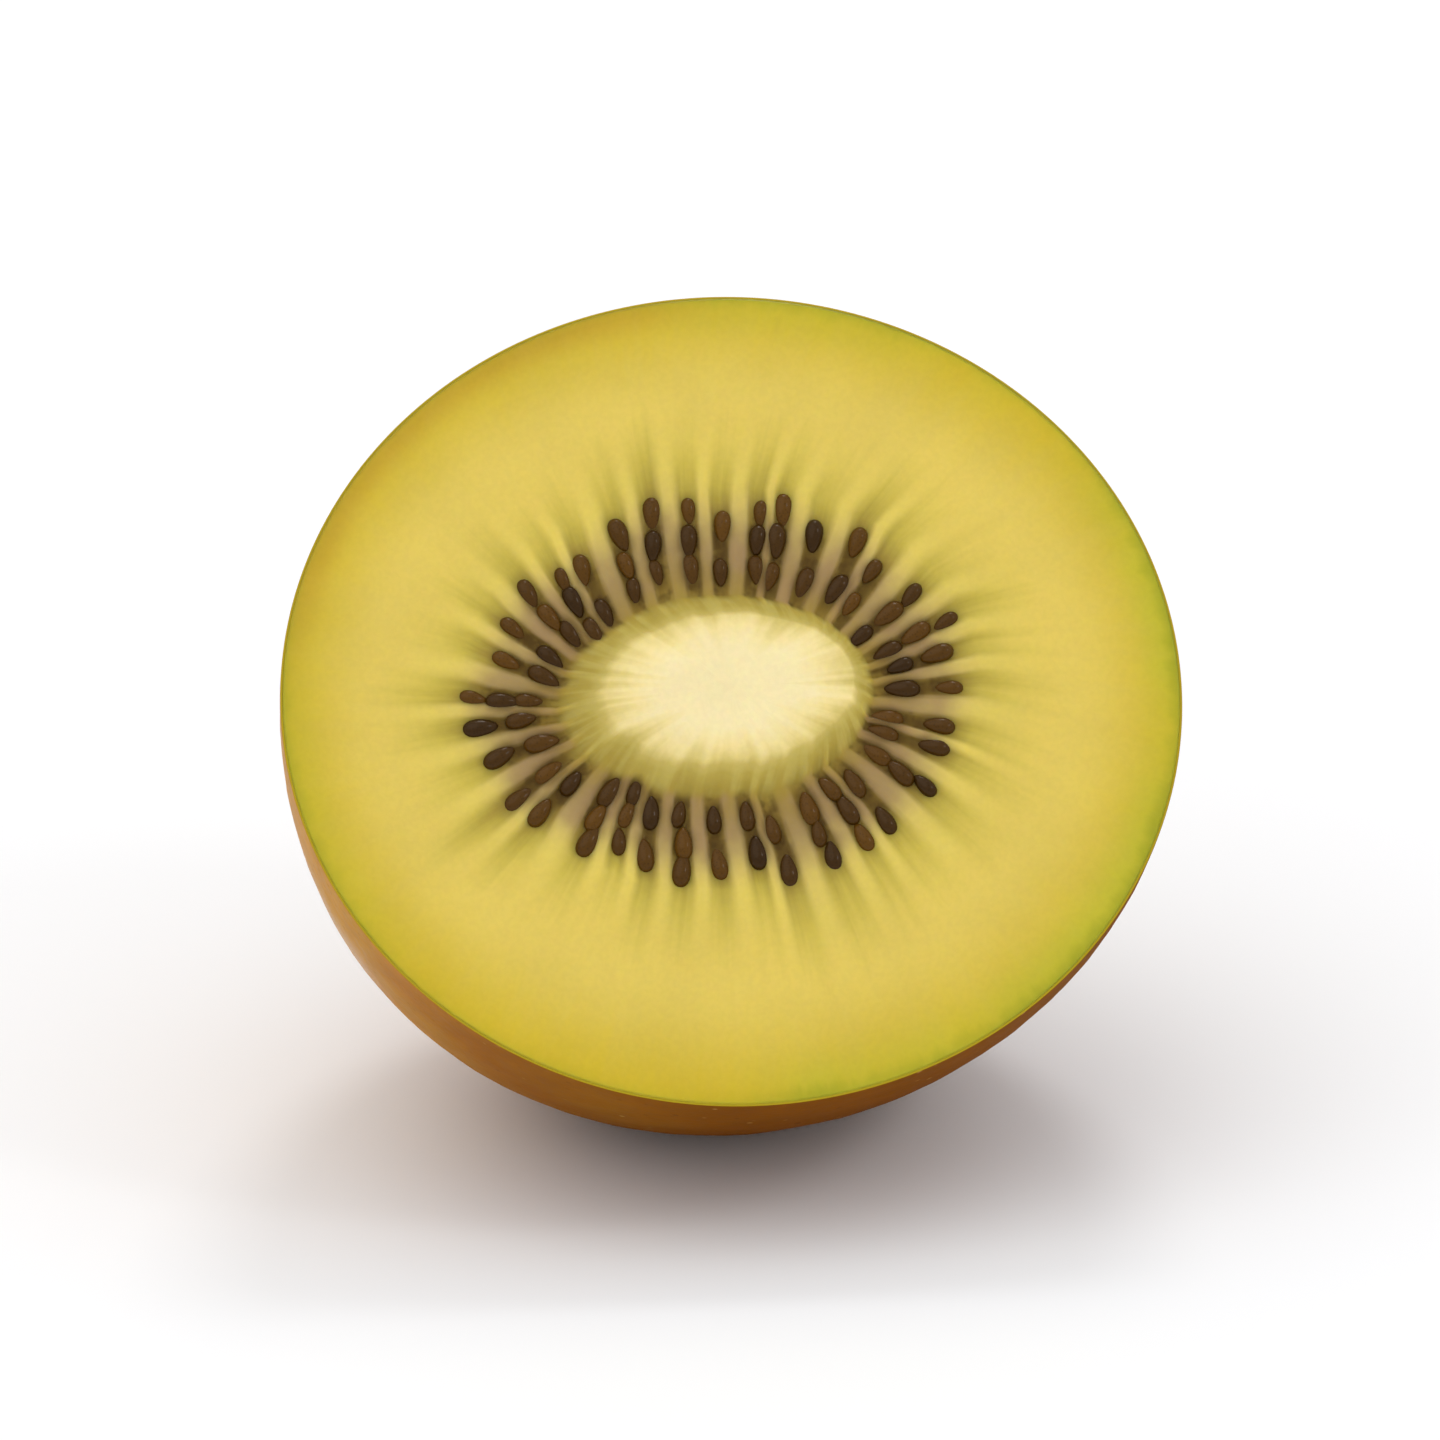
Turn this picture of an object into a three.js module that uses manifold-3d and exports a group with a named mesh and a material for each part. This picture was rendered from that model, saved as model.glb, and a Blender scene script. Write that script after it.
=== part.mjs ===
// Half of a golden kiwi fruit, cut across its middle and lying on the round side of its skin.
// Millimetres, +Z up. The cut face looks up and towards -Y, and the stem end points down and
// towards +Y. The origin is on the surface that the half lies on, under the middle of its box.
//
// The half grew as one piece, so it is one closed solid: the skin's dome with the stem button at
// its end, the cut face with its core and seed chambers in relief, and the seeds fused to it.

import * as THREE from 'three';
import { mergeVertices } from 'three/addons/utils/BufferGeometryUtils.js';
import Module from 'manifold-3d';

// ---- driving dimensions -------------------------------------------------------------------

const FACE_WIDTH = 56; // the cut face, across
const FACE_HEIGHT = 52; // and from its lower to its upper edge
const HALF_LENGTH = 36.5; // from the cut to the stem end: half of a 73 mm fruit
const SHOULDER = 2.2; // exponent of the long section's curve: 2 is an ellipse, more is fuller
const LUMP = 0.3; // how far the dome swells and dips from a true round

const FACE_ELEVATION = 38; // degrees that the cut face's normal points above the horizon
const REST_SPOT_DEPTH = 0.6; // how much of the dome's lowest point is flattened

// Ovals on the cut face: centre, half axes and how far turned, in degrees. x runs across the
// face, y up along it.
const CORE = { x: -0.1, y: 0.75, rx: 7.7, ry: 4.6, turned: 3 };
const SEED_RING_INSIDE = { x: -1.0, y: 0.2, rx: 9.9, ry: 6.6, turned: 3 };
const SEED_RING_OUTSIDE = { x: -0.7, y: 0.8, rx: 16.2, ry: 12.9, turned: 3 };
const RIM = { x: 0, y: 0, rx: FACE_WIDTH / 2, ry: FACE_HEIGHT / 2, turned: 0 };

const CORE_RISE = 0.25; // the firm core stands a little proud of the cut
const CHAMBER_COUNT = 36; // seed chambers round the core
const CHAMBER_DEPTH = 0.32; // the soft chambers sink below the walls between them
const CHAMBER_DRIFT = 0.2; // how far a chamber strays, in chamber widths
const CHAMBER_BEND = 0.11; // how much the chambers turn square to the core's oval as they reach out

const SEED = { length: 2.15, width: 1.14, thickness: 1.05, sides: 8, rings: 4 };
const SEED_SIZES = [0.82, 1.12]; // the smallest and largest seed, as shares of that
const SEED_PROUD = [0.38, 0.6]; // how far a seed stands out of its chamber: least and most
const THREE_SEEDS = 0.35; // share of the chambers that show three seeds; the others show two
const SEED_TURN = 12; // degrees that a seed strays from the chamber's own direction
const ROW_MIDDLE = 2.48; // the reach of the middle of a chamber's seeds
const ROW_SPREAD = 0.88; // how much of the ring's width they lie over
const ROW_SHIFT = 0.1; // how far in or out one chamber's seeds stray, in ring widths
// The ring's outline waves too: how often round it, how far in ring widths, and where in radians.
const ROW_WAVES = [[3, 0.07, -2.8], [4, 0.05, 0.7]];

const BUTTON_RADIUS = 6.8; // the stem scar's groove
const BUTTON_GROOVE = 0.9; // its depth
const STEM_RADIUS = 4.2; // the woody disc inside the groove
const STEM_RISE = 0.7; // how far the disc stands above the groove's floor
const PIT_RADIUS = 1.3; // the pit in the middle of the disc
const PIT_DEPTH = 1.1;

const DOME_COLUMNS = 60; // points round the dome
const DOME_ROWS = 15; // rows from the cut to the stem button

const SEED_OF_CHANCE = 20431;

// ---- chance, always the same --------------------------------------------------------------

function makeChance(seed) {
  let state = seed >>> 0;
  return () => {
    state = (state + 0x6d2b79f5) >>> 0;
    let mixed = Math.imul(state ^ (state >>> 15), 1 | state);
    mixed = (mixed + Math.imul(mixed ^ (mixed >>> 7), 61 | mixed)) ^ mixed;
    return ((mixed ^ (mixed >>> 14)) >>> 0) / 4294967296;
  };
}

const chance = makeChance(SEED_OF_CHANCE);
const between = (low, high) => low + (high - low) * chance();
const smooth = (low, high, value) => THREE.MathUtils.smoothstep(value, low, high);
const radians = THREE.MathUtils.degToRad;

// ---- rings of points, and the skin between them -------------------------------------------

// A ring is a closed loop of points, each with its own turn from 0 to 1. A ring of one point is
// a pole. Neighbouring rings may differ in how many points they have.

function evenTurns(count) {
  return Array.from({ length: count }, (_, i) => i / count);
}

function ring(turns, pointAt) {
  return { turns, points: turns.map((turn) => pointAt(turn * 2 * Math.PI)) };
}

function bandTriangles(inner, outer, innerStart, outerStart) {
  const triangles = [];
  const innerCount = inner.turns.length;
  const outerCount = outer.turns.length;
  const turnOf = (turns, i) => turns[i % turns.length] + Math.floor(i / turns.length);
  let i = 0;
  let o = 0;
  const innerSteps = innerCount === 1 ? 0 : innerCount;
  const outerSteps = outerCount === 1 ? 0 : outerCount;
  while (i < innerSteps || o < outerSteps) {
    const a = innerStart + (i % innerCount);
    const b = outerStart + (o % outerCount);
    const stepOuter = i >= innerSteps
      || (o < outerSteps && turnOf(outer.turns, o + 1) <= turnOf(inner.turns, i + 1));
    if (stepOuter) {
      o += 1;
      triangles.push(a, b, outerStart + (o % outerCount));
    } else {
      i += 1;
      triangles.push(a, b, innerStart + (i % innerCount));
    }
  }
  return triangles;
}

function closedSkin(rings) {
  const positions = [];
  const starts = [];
  for (const loop of rings) {
    starts.push(positions.length / 3);
    for (const point of loop.points) positions.push(point.x, point.y, point.z);
  }
  const triangles = [];
  for (let k = 0; k + 1 < rings.length; k += 1) {
    triangles.push(...bandTriangles(rings[k], rings[k + 1], starts[k], starts[k + 1]));
  }
  const geometry = new THREE.BufferGeometry();
  geometry.setAttribute('position', new THREE.Float32BufferAttribute(positions, 3));
  geometry.setIndex(triangles);
  return geometry;
}

// ---- the cut face -------------------------------------------------------------------------

// Reach is a place between the ovals: 0 is the core's middle, 1 the core's edge, 2 and 3 the
// inner and outer edge of the seed ring, and 4 the rim.

const OVALS = [{ ...CORE, rx: 0, ry: 0 }, CORE, SEED_RING_INSIDE, SEED_RING_OUTSIDE, RIM];

function facePoint(reach, turn) {
  const bend = CHAMBER_BEND * (THREE.MathUtils.clamp(reach, 1, 3) - 2);
  const angle = turn + bend * Math.sin(2 * turn);
  const step = Math.min(Math.floor(reach), OVALS.length - 2);
  const from = OVALS[step];
  const to = OVALS[step + 1];
  const mix = (key) => THREE.MathUtils.lerp(from[key], to[key], reach - step);
  const across = mix('rx') * Math.cos(angle);
  const up = mix('ry') * Math.sin(angle);
  const turned = radians(mix('turned'));
  return {
    x: mix('x') + across * Math.cos(turned) - up * Math.sin(turned),
    y: mix('y') + across * Math.sin(turned) + up * Math.cos(turned),
  };
}

// Where each chamber lies, in turns, and the walls half way between them.
const chamberTurns = evenTurns(CHAMBER_COUNT).map(
  (turn) => turn + (0.5 + between(-CHAMBER_DRIFT, CHAMBER_DRIFT)) / CHAMBER_COUNT,
);
const wallTurns = chamberTurns.map((turn, i) => {
  const before = i === 0 ? chamberTurns[CHAMBER_COUNT - 1] - 1 : chamberTurns[i - 1];
  return (turn + before) / 2;
});
const chamberRingTurns = wallTurns.flatMap((wall, i) => [wall, chamberTurns[i]]);
const isChamber = (index) => index % 2 === 1;

function coreHeight(reach) {
  return CORE_RISE * (1 - smooth(0.45, 1.25, reach));
}

// How deep a chamber is along its length: it opens at the core and fades out into the flesh.
function chamberShare(reach) {
  return smooth(1.5, 2.1, reach) * (1 - smooth(2.9, 3.2, reach));
}

function faceHeight(reach, inChamber) {
  const depth = inChamber ? CHAMBER_DEPTH : 0.1 * CHAMBER_DEPTH;
  return coreHeight(reach) - depth * chamberShare(reach);
}

function plainFaceRing(reach, columns) {
  return ring(evenTurns(columns), (angle) => {
    const { x, y } = facePoint(reach, angle);
    return new THREE.Vector3(x, y, faceHeight(reach, false));
  });
}

function chamberFaceRing(reach) {
  const loop = ring(chamberRingTurns, (angle) => facePoint(reach, angle));
  loop.points = loop.points.map(
    ({ x, y }, index) => new THREE.Vector3(x, y, faceHeight(reach, isChamber(index))),
  );
  return loop;
}

function faceRings() {
  return [
    plainFaceRing(0, 1),
    plainFaceRing(0.4, 12),
    plainFaceRing(0.75, 24),
    plainFaceRing(1.0, 36),
    plainFaceRing(1.25, 48),
    ...[1.5, 1.8, 2.1, 2.5, 2.9, 3.05, 3.2].map(chamberFaceRing),
    plainFaceRing(3.5, DOME_COLUMNS),
  ];
}

// ---- the dome and the stem button ---------------------------------------------------------

// The dome's own round: full at the cut, closing to the stem end by a superellipse.
function domeShare(depth) {
  return (1 - (depth / HALF_LENGTH) ** SHOULDER) ** (1 / SHOULDER);
}

function lump(depth, angle) {
  const along = (Math.PI * depth) / HALF_LENGTH;
  return LUMP * (0.6 * Math.sin(along) * Math.cos(3 * angle + 0.7)
    + 0.4 * Math.sin(2 * along) * Math.cos(2 * angle - 1.1));
}

function domePoint(depth, angle) {
  const share = domeShare(depth);
  const swell = lump(depth, angle);
  return new THREE.Vector3(
    (RIM.rx * share + swell) * Math.cos(angle),
    (RIM.ry * share + swell) * Math.sin(angle),
    -depth,
  );
}

// The depth at which the dome is as narrow as a circle of this radius.
function depthAtRadius(radius) {
  const share = radius / Math.sqrt(RIM.rx * RIM.ry);
  return HALF_LENGTH * (1 - share ** SHOULDER) ** (1 / SHOULDER);
}

// The scar where the stem broke off: a sunk groove round a woody disc with a pit in it.
function buttonSink(radius) {
  const groove = BUTTON_GROOVE * (1 - smooth(BUTTON_RADIUS * 0.8, BUTTON_RADIUS * 1.25, radius));
  const disc = STEM_RISE * (1 - smooth(STEM_RADIUS * 0.8, STEM_RADIUS * 1.2, radius));
  const pit = PIT_DEPTH * (1 - smooth(PIT_RADIUS * 0.4, PIT_RADIUS * 1.3, radius));
  return groove - disc + pit;
}

function buttonRing(radius, columns) {
  const depth = depthAtRadius(radius) - buttonSink(radius);
  return ring(evenTurns(columns), (angle) => new THREE.Vector3(
    radius * Math.cos(angle),
    radius * Math.sin(angle),
    -depth,
  ));
}

function domeRings() {
  const last = depthAtRadius(BUTTON_RADIUS * 1.6);
  const lastAngle = Math.asin(last / HALF_LENGTH);
  const rows = Array.from({ length: DOME_ROWS }, (_, i) => {
    const depth = HALF_LENGTH * Math.sin((lastAngle * i) / (DOME_ROWS - 1));
    return ring(evenTurns(DOME_COLUMNS), (angle) => domePoint(depth, angle));
  });
  const button = [
    [BUTTON_RADIUS * 1.25, 42],
    [BUTTON_RADIUS, 36],
    [BUTTON_RADIUS * 0.82, 36],
    [STEM_RADIUS * 1.2, 30],
    [STEM_RADIUS, 30],
    [STEM_RADIUS * 0.8, 24],
    [PIT_RADIUS * 1.3, 12],
    [PIT_RADIUS * 0.7, 8],
    [0, 1],
  ];
  return [...rows, ...button.map(([radius, columns]) => buttonRing(radius, columns))];
}

// ---- the seeds ----------------------------------------------------------------------------

// One seed: a drop that is blunt outwards and narrow towards the core, laid along +X.
function seedGeometry(size) {
  const drop = new THREE.SphereGeometry(0.5, SEED.sides, SEED.rings).rotateZ(-Math.PI / 2);
  const position = drop.getAttribute('position');
  for (let i = 0; i < position.count; i += 1) {
    const taper = 1 + 0.5 * position.getX(i);
    position.setXYZ(
      i,
      position.getX(i) * SEED.length * size,
      position.getY(i) * SEED.width * size * taper,
      position.getZ(i) * SEED.thickness * size * taper,
    );
  }
  return drop;
}

function seedInFace(turn, reach) {
  const angle = turn * 2 * Math.PI;
  const here = facePoint(reach, angle);
  const outward = facePoint(reach + 0.1, angle);
  const heading = Math.atan2(outward.y - here.y, outward.x - here.x);
  const size = between(...SEED_SIZES);
  const stray = radians(between(-SEED_TURN, SEED_TURN));
  const top = faceHeight(reach, true) + between(...SEED_PROUD);
  return seedGeometry(size)
    .rotateZ(heading + stray)
    .translate(here.x, here.y, top - (SEED.thickness / 2) * size);
}

// How far in or out the seeds at this turn lie because of the waves of the ring's outline.
function rowWave(turn) {
  return ROW_WAVES.reduce(
    (sum, [count, height, where]) => sum + height * Math.cos(count * turn * 2 * Math.PI - where),
    0,
  );
}

function seedGeometries() {
  return chamberTurns.flatMap((turn) => {
    const count = chance() < THREE_SEEDS ? 3 : 2;
    const middle = ROW_MIDDLE + rowWave(turn) + between(-ROW_SHIFT, ROW_SHIFT);
    return Array.from({ length: count }, (_, k) => {
      const share = (k + 0.5 + between(-0.12, 0.12)) / count;
      const stray = between(-0.1, 0.1) / CHAMBER_COUNT;
      return seedInFace(turn + stray, middle + ROW_SPREAD * (share - 0.5));
    });
  });
}

// ---- joining and cutting ------------------------------------------------------------------

const wasm = await Module();
wasm.setup();

function toSolid(geometry) {
  const bare = geometry.clone();
  bare.deleteAttribute('normal');
  bare.deleteAttribute('uv');
  const merged = mergeVertices(bare, 1e-4);
  return new wasm.Manifold(new wasm.Mesh({
    numProp: 3,
    vertProperties: new Float32Array(merged.getAttribute('position').array),
    triVerts: new Uint32Array(merged.getIndex().array),
  }));
}

function toGeometry(solid) {
  const mesh = solid.getMesh();
  const geometry = new THREE.BufferGeometry();
  geometry.setAttribute('position', new THREE.BufferAttribute(mesh.vertProperties, 3));
  geometry.setIndex(new THREE.BufferAttribute(mesh.triVerts, 1));
  geometry.computeVertexNormals();
  return geometry;
}

// The skin's dome closed by the cut face, before the seeds: a solid with the face towards +Z.
function halfBody() {
  return toSolid(closedSkin([...faceRings(), ...domeRings()]));
}

function tiltedHalf() {
  const seeds = seedGeometries().map(toSolid);
  const half = seeds.reduce((body, seed) => body.add(seed), halfBody());
  return toGeometry(half).rotateX(radians(90 - FACE_ELEVATION));
}

// Flattens the lowest point of the dome, where the half rests, and sets it on the surface.
function restingHalf() {
  const half = tiltedHalf();
  half.computeBoundingBox();
  const { min, max } = half.boundingBox;
  half.translate(-(min.x + max.x) / 2, -(min.y + max.y) / 2, -min.z - REST_SPOT_DEPTH);
  const below = new THREE.BoxGeometry(2 * FACE_WIDTH, 2 * FACE_WIDTH, 2 * REST_SPOT_DEPTH);
  below.translate(0, 0, -REST_SPOT_DEPTH);
  return toGeometry(toSolid(half).subtract(toSolid(below)));
}

// ---- the fruit ----------------------------------------------------------------------------

const goldenFlesh = new THREE.MeshStandardMaterial({
  color: 0xdcc659,
  roughness: 0.4,
  metalness: 0,
});

const kiwiHalf = new THREE.Mesh(restingHalf(), goldenFlesh);
kiwiHalf.name = 'kiwi_half';

const fruit = new THREE.Group();
fruit.add(kiwiHalf);

export default fruit;
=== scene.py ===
"""The looks of a golden kiwi's cut half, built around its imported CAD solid.

The half is drawn in the fruit's own frame, in millimetres: the cut face lies in z = 0 with x
across it and y up along it, and the dome hangs below, down to the stem end. place() turns that
into the part's frame, in metres.
"""

import math

import bpy
import numpy as np
from mathutils import Matrix, Vector, noise


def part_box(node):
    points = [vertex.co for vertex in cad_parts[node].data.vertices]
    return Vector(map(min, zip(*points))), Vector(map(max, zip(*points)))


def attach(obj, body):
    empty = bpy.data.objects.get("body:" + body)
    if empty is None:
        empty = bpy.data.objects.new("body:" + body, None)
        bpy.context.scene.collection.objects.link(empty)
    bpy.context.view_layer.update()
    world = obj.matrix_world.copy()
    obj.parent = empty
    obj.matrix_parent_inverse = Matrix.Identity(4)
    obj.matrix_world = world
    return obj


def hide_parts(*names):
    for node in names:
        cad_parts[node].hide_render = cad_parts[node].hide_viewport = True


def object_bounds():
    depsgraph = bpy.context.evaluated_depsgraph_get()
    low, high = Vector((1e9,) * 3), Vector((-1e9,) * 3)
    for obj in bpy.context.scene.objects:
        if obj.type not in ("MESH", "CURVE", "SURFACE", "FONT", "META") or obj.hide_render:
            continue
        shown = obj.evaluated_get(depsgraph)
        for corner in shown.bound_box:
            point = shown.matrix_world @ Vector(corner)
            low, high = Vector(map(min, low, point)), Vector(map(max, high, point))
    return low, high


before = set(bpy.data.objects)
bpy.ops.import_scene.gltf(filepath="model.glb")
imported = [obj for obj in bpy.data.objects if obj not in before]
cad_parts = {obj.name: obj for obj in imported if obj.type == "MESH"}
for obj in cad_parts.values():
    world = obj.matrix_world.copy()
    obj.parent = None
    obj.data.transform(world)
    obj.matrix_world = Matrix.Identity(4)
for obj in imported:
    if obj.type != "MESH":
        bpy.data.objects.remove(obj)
cad_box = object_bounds()

NODE = "kiwi_half"
BODY = "root"
MM = 0.001

# ---- the half's own sizes, in millimetres: the same values as the solid's ----

FACE_HALF_WIDTH = 28.0
FACE_HALF_HEIGHT = 26.0
HALF_LENGTH = 36.5
SHOULDER = 2.2
LUMP = 0.3
# The lumps' two waves: half waves down the dome, waves round it, share of the height, and where.
LUMP_WAVES = [(1, 3, 0.6, -0.7), (2, 2, 0.4, 1.1)]
FACE_ELEVATION = math.radians(38)
TILT = math.pi / 2 - FACE_ELEVATION

# Ovals on the cut face: centre x and y, half axes, and how far turned, in degrees.
CORE_MIDDLE = (-0.1, 0.75, 0.0, 0.0, 3.0)
CORE = (-0.1, 0.75, 7.7, 4.6, 3.0)
SEED_RING_INSIDE = (-1.0, 0.2, 9.9, 6.6, 3.0)
SEED_RING_OUTSIDE = (-0.7, 0.8, 16.2, 12.9, 3.0)
RIM = (0.0, 0.0, FACE_HALF_WIDTH, FACE_HALF_HEIGHT, 0.0)
OVALS = np.array([CORE_MIDDLE, CORE, SEED_RING_INSIDE, SEED_RING_OUTSIDE, RIM])

CORE_RISE = 0.25
CORE_SLOPE = (0.45, 1.25)  # the reaches between which the core's rise ends
CHAMBER_COUNT = 36
CHAMBER_DEPTH = 0.32
CHAMBER_START = (1.5, 2.1)  # the reaches between which the chambers open
CHAMBER_END = (2.9, 3.2)  # and between which they end
WALL_SLOPE = (0.12, 0.8)  # from a wall's top, 0, to a chamber's middle, 1
WALL_SINK = 0.1  # how far the walls themselves sink, as a share of the chambers' depth
CHAMBER_DRIFT = 0.2
CHAMBER_BEND = 0.11

SEED_LENGTH = 2.15
SEED_WIDTH = 1.14
SEED_THICKNESS = 1.05
SEED_SIZES = (0.82, 1.12)
SEED_PROUD = (0.38, 0.6)
SEED_TURN = math.radians(12)
SEED_TAPER = 0.5  # how much a seed widens to its blunt end, as a share of its width
SEED_STRAY = 0.12  # how far a seed strays along its row, in steps of the row
SEED_STRAY_ASIDE = 0.1  # and to the side, in chamber widths
THREE_SEEDS = 0.35
ROW_MIDDLE = 2.48
ROW_SPREAD = 0.88
ROW_SHIFT = 0.1
ROW_WAVES = [(3, 0.07, -2.8), (4, 0.05, 0.7)]

BUTTON_RADIUS = 6.8
BUTTON_GROOVE = 0.9
BUTTON_SLOPE = (0.8, 1.25)  # where the groove's side starts and ends, in radii
STEM_RADIUS = 4.2
STEM_RISE = 0.7
STEM_SLOPE = (0.8, 1.2)
PIT_RADIUS = 1.3
PIT_DEPTH = 1.1
PIT_SLOPE = (0.4, 1.3)

SEED_OF_CHANCE = 20431

# ---- what only the looks need, in millimetres ----

SKIN_THICKNESS = 0.14
SKIN_GAP = 0.05  # between the flesh and the skin's inner side, where neither shows

# Where nothing shows: the depths of the flesh's and the skin's inner rings, and the rings across
# their floors, as shares of the width.
HIDDEN_COLUMNS = 84
FLESH_DEPTHS = (0.4, 1.2, 3.0, 6.0, 8.9)
SKIN_DEPTHS = (9.0, 6.0, 3.0, 1.2)
FLOOR_SHARES = (0.35, 0.7)


# ---- chance, always the same: the generator that the solid uses ----


def make_chance(seed):
    mask = 0xFFFFFFFF
    state = seed & mask

    def chance():
        nonlocal state
        state = (state + 0x6D2B79F5) & mask
        mixed = ((state ^ (state >> 15)) * (1 | state)) & mask
        mixed = (mixed + (((mixed ^ (mixed >> 7)) * (61 | mixed)) & mask)) & mask ^ mixed
        return (mixed ^ (mixed >> 14)) / 4294967296

    return chance


chance = make_chance(SEED_OF_CHANCE)


def between(low, high):
    return low + (high - low) * chance()


def smooth(low, high, value):
    share = np.clip((np.asarray(value, float) - low) / (high - low), 0, 1)
    return share * share * (3 - 2 * share)


def stack(x, y, z):
    """Points from their coordinates, any of which may be one number for all of them."""
    return np.stack(np.broadcast_arrays(x, y, z), 1)


def cylinder(radius, angle, z):
    """Points at these angles round the z axis."""
    return stack(radius * np.cos(angle), radius * np.sin(angle), z)


def rough(points, height, fineness, layers):
    """Fractal noise at each point, from about -height to height."""
    return height * np.array([
        noise.fractal(Vector(point) * fineness, 1.0, 2.0, layers, noise_basis="PERLIN_ORIGINAL")
        for point in points
    ])


# ---- the frame ----


def face_centre():
    """Where the middle of the cut face is, in metres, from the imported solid's own box."""
    low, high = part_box(NODE)
    half_height = FACE_HALF_HEIGHT * MM
    return Vector((
        (low[0] + high[0]) / 2,
        low[1] + half_height * math.cos(TILT),
        high[2] - half_height * math.sin(TILT),
    ))


FACE_TO_PART = Matrix.Translation(face_centre()) @ Matrix.Rotation(TILT, 4, "X")


def place(points):
    """Points in the fruit's frame, in millimetres, as points in the part's frame, in metres.

    What would reach below the surface is flattened on it, as the solid is where it rests.
    """
    turn = np.array(FACE_TO_PART.to_3x3())
    placed = (np.asarray(points) * MM) @ turn.T + np.array(FACE_TO_PART.translation)
    placed[:, 2] = np.maximum(placed[:, 2], 0)
    return placed


# ---- the cut face ----


def face_point(reach, angle):
    """reach: 0 core's middle, 1 core's edge, 2 and 3 the seed ring's edges, 4 the rim."""
    reach, angle = np.broadcast_arrays(np.asarray(reach, float), np.asarray(angle, float))
    bend = CHAMBER_BEND * (np.clip(reach, 1, 3) - 2)
    bent = angle + bend * np.sin(2 * angle)
    step = np.minimum(np.floor(reach).astype(int), len(OVALS) - 2)
    share = (reach - step)[..., None]
    oval = OVALS[step] * (1 - share) + OVALS[step + 1] * share
    x, y, half_width, half_height, turned = np.moveaxis(oval, -1, 0)
    across, up = half_width * np.cos(bent), half_height * np.sin(bent)
    cos, sin = np.cos(np.radians(turned)), np.sin(np.radians(turned))
    return x + across * cos - up * sin, y + across * sin + up * cos


def chamber_layout():
    """The turn of each chamber's middle, and of the wall before it."""
    drift = [0.5 + between(-CHAMBER_DRIFT, CHAMBER_DRIFT) for _ in range(CHAMBER_COUNT)]
    chambers = (np.arange(CHAMBER_COUNT) + drift) / CHAMBER_COUNT
    before = np.roll(chambers, 1)
    before[0] -= 1
    return chambers, (chambers + before) / 2


CHAMBER_TURNS, WALL_TURNS = chamber_layout()


def core_height(reach):
    return CORE_RISE * (1 - smooth(*CORE_SLOPE, reach))


def chamber_share(reach):
    return smooth(*CHAMBER_START, reach) * (1 - smooth(*CHAMBER_END, reach))


def face_height(reach, chamber):
    """chamber: 0 on a wall between chambers, 1 in a chamber's middle."""
    sink = WALL_SINK + (1 - WALL_SINK) * smooth(*WALL_SLOPE, chamber)
    return core_height(reach) - CHAMBER_DEPTH * sink * chamber_share(reach)


# ---- the dome ----


def dome_share(depth):
    """How wide the dome is at a depth below the cut, as a share of its width at the cut."""
    return (1 - np.clip(np.asarray(depth) / HALF_LENGTH, 0, 1) ** SHOULDER) ** (1 / SHOULDER)


def lump(depth, angle):
    """How far the dome swells there, or dips where it is negative."""
    along = math.pi * np.asarray(depth) / HALF_LENGTH
    return LUMP * sum(
        share * np.sin(down * along) * np.cos(around * angle - at)
        for down, around, share, at in LUMP_WAVES
    )


def depth_at_radius(radius):
    """How deep below the cut the dome lies at this distance from its axis."""
    share = np.asarray(radius) / math.sqrt(FACE_HALF_WIDTH * FACE_HALF_HEIGHT)
    return HALF_LENGTH * (1 - share**SHOULDER) ** (1 / SHOULDER)


def button_sink(radius):
    """How far the groove, the disc in it and the pit in that sink into the fruit, all together."""
    groove = BUTTON_GROOVE * (1 - smooth(*BUTTON_SLOPE, radius / BUTTON_RADIUS))
    disc = STEM_RISE * (1 - smooth(*STEM_SLOPE, radius / STEM_RADIUS))
    pit = PIT_DEPTH * (1 - smooth(*PIT_SLOPE, radius / PIT_RADIUS))
    return groove - disc + pit


# ---- meshes from rings ----


class Ring:
    """A closed loop of points, with a turn from 0 to 1 and other values for each."""

    def __init__(self, turns, points, **values):
        self.turns = np.asarray(turns, float)
        self.points = np.asarray(points, float)
        self.values = {k: np.broadcast_to(v, self.turns.shape) for k, v in values.items()}

    def __len__(self):
        return len(self.turns)

    def turn_at(self, step):
        """The turn that is reached after so many steps, which goes on past 1."""
        return self.turns[step % len(self)] + step // len(self)


def even_turns(count):
    """So many turns from 0 to 1, and their angles."""
    turns = np.arange(count) / count
    return turns, turns * 2 * math.pi


def band_faces(inner, outer, inner_start, outer_start):
    """The faces between two rings, which may differ in how many points they have."""
    if len(inner) != len(outer):
        return uneven_band(inner, outer, inner_start, outer_start)
    faces = []
    for here in range(len(inner)):
        ahead = (here + 1) % len(inner)
        outer_edge = (outer_start + here, outer_start + ahead)
        faces.append((inner_start + here, *outer_edge, inner_start + ahead))
    return faces


def uneven_band(inner, outer, inner_start, outer_start):
    """Triangles that go round both rings, each a step along the ring that is behind."""
    inner_steps = 0 if len(inner) == 1 else len(inner)
    outer_steps = 0 if len(outer) == 1 else len(outer)
    faces = []
    i = o = 0
    while i < inner_steps or o < outer_steps:
        edge = (inner_start + i % len(inner), outer_start + o % len(outer))
        outer_is_behind = i >= inner_steps or (
            o < outer_steps and outer.turn_at(o + 1) <= inner.turn_at(i + 1)
        )
        if outer_is_behind:
            o += 1
            faces.append((*edge, outer_start + o % len(outer)))
        else:
            i += 1
            faces.append((*edge, inner_start + i % len(inner)))
    return faces


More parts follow.
